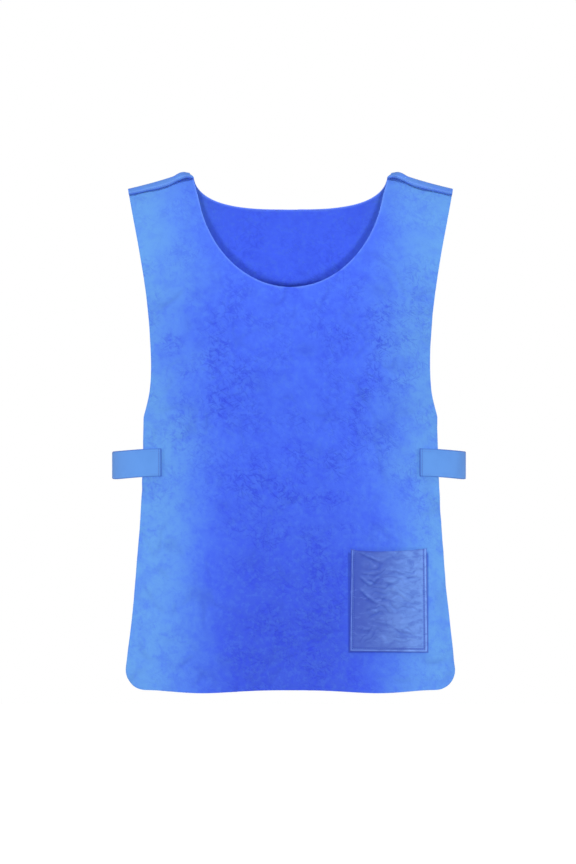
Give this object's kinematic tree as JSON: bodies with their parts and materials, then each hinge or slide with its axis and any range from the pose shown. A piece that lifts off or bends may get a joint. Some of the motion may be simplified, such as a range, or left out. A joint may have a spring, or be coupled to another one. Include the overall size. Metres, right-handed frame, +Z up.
{
  "type": "cooling vest",
  "caption": "Pull-over cooling vest in worn shape: soft front and back panels joined by shoulder bands and elastic side straps, deep round neck, patch pocket.",
  "frame": {"origin": "midway between the two shoulders, level with the underside of the cloth where it crosses them", "axes": "+Z up, -Y towards the vest's front, +X towards the wearer's left"},
  "size_m": [0.4682, 0.211, 0.6889],
  "materials": {
    "vest_cloth": "matt azure non-woven cloth with a fine crumpled, suede-like surface",
    "shoulder_tape": "matt azure tape, lightly wrinkled along its seam",
    "strap_elastic": "smooth light azure elastic webbing",
    "pocket_cloth": "smoother greyish blue cloth with soft wavy wrinkles and a slight sheen"
  },
  "bodies": {
    "root": {"front_panel": "vest_cloth", "back_panel": "vest_cloth", "shoulder_band_left": "shoulder_tape", "shoulder_band_right": "shoulder_tape", "side_strap_left": "strap_elastic", "side_strap_right": "strap_elastic", "pocket": "pocket_cloth"}
  },
  "joints": []
}
